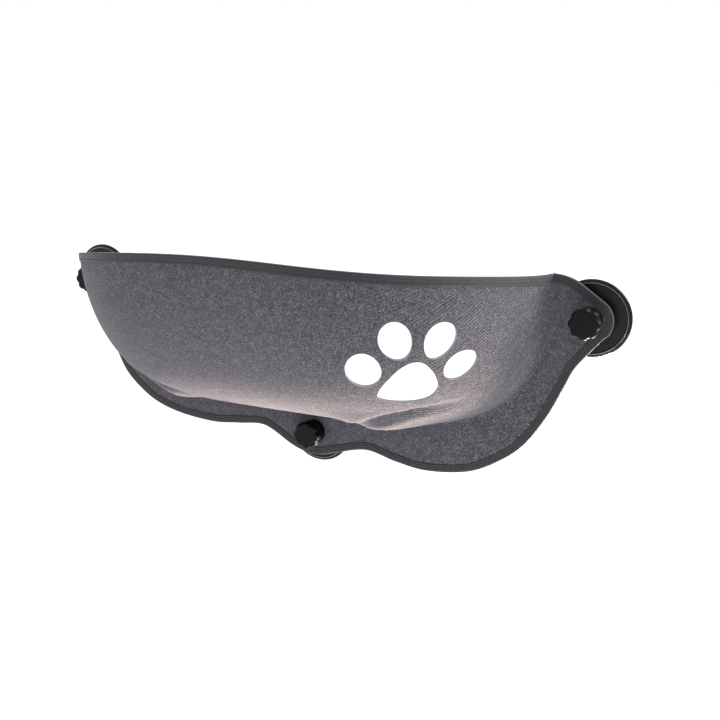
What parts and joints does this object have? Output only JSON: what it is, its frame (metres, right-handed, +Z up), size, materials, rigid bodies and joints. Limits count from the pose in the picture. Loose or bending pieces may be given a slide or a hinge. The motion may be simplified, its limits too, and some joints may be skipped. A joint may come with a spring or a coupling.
{
  "type": "window mounted cat perch",
  "caption": "Boat-shaped cat perch bent from one felt sheet with a taped edge and a paw-shaped cut-out, held on a window by suction cups with screw knobs.",
  "frame": {"origin": "on the window glass, midway between the axes of the two upper studs", "axes": "+X along the window to the right as seen from the room, +Y out through the glass, +Z up"},
  "size_m": [0.67, 0.2274, 0.2595],
  "materials": {
    "felt": "mid grey needled felt with fine slanting ribs",
    "tape": "charcoal woven binding tape with a stitched line",
    "pad_rubber": "glossy black rubber",
    "shell_plastic": "black plastic, satin",
    "stud_steel": "plated steel",
    "collar_plastic": "black plastic",
    "knob_plastic": "black moulded plastic, satin",
    "nut_brass": "brass"
  },
  "bodies": {
    "cradle": {"felt_cradle": "felt", "edge_tape": "tape"},
    "left_cup": {"left_suction_pad": "pad_rubber", "left_pad_shell": "shell_plastic", "left_stud": "stud_steel"},
    "left_clamp": {"left_collar": "collar_plastic"},
    "left_turn_knob": {"left_knob": "knob_plastic", "left_knob_nut": "nut_brass"},
    "right_cup": {"right_suction_pad": "pad_rubber", "right_pad_shell": "shell_plastic", "right_stud": "stud_steel"},
    "right_clamp": {"right_collar": "collar_plastic"},
    "right_turn_knob": {"right_knob": "knob_plastic", "right_knob_nut": "nut_brass"},
    "lower_cup": {"lower_suction_pad": "pad_rubber", "lower_pad_shell": "shell_plastic", "lower_stud": "stud_steel"},
    "lower_clamp": {"lower_collar": "collar_plastic"},
    "lower_turn_knob": {"lower_knob": "knob_plastic", "lower_knob_nut": "nut_brass"}
  },
  "joints": [
    {"name": "left_cup_turn", "type": "hinge", "parent": "cradle", "child": "left_cup", "pos_m": [-0.297, -0.014, 0], "axis": [0, -1, 0], "continuous": true},
    {"name": "left_clamp_slide", "type": "slide", "parent": "left_cup", "child": "left_clamp", "axis": [0, -1, 0], "range_m": [0, 0.0075]},
    {"name": "left_knob_turn", "type": "hinge", "parent": "left_clamp", "child": "left_turn_knob", "pos_m": [-0.297, -0.0315, 0], "axis": [0, -1, 0], "range_deg": [0, 2160]},
    {"name": "right_cup_turn", "type": "hinge", "parent": "cradle", "child": "right_cup", "pos_m": [0.297, -0.014, 0], "axis": [0, -1, 0], "continuous": true},
    {"name": "right_clamp_slide", "type": "slide", "parent": "right_cup", "child": "right_clamp", "axis": [0, -1, 0], "range_m": [0, 0.0075]},
    {"name": "right_knob_turn", "type": "hinge", "parent": "right_clamp", "child": "right_turn_knob", "pos_m": [0.297, -0.0315, 0], "axis": [0, -1, 0], "range_deg": [0, 2160]},
    {"name": "lower_cup_turn", "type": "hinge", "parent": "cradle", "child": "lower_cup", "pos_m": [0, -0.014, -0.152], "axis": [0, -1, 0], "continuous": true},
    {"name": "lower_clamp_slide", "type": "slide", "parent": "lower_cup", "child": "lower_clamp", "axis": [0, -1, 0], "range_m": [0, 0.0075]},
    {"name": "lower_knob_turn", "type": "hinge", "parent": "lower_clamp", "child": "lower_turn_knob", "pos_m": [0, -0.0315, -0.152], "axis": [0, -1, 0], "range_deg": [0, 2160]}
  ],
  "couplings": [
    {"joint": "left_clamp_slide", "follows": "left_knob_turn", "m_per_rad": 0.00019894},
    {"joint": "right_clamp_slide", "follows": "right_knob_turn", "m_per_rad": 0.00019894},
    {"joint": "lower_clamp_slide", "follows": "lower_knob_turn", "m_per_rad": 0.00019894}
  ]
}
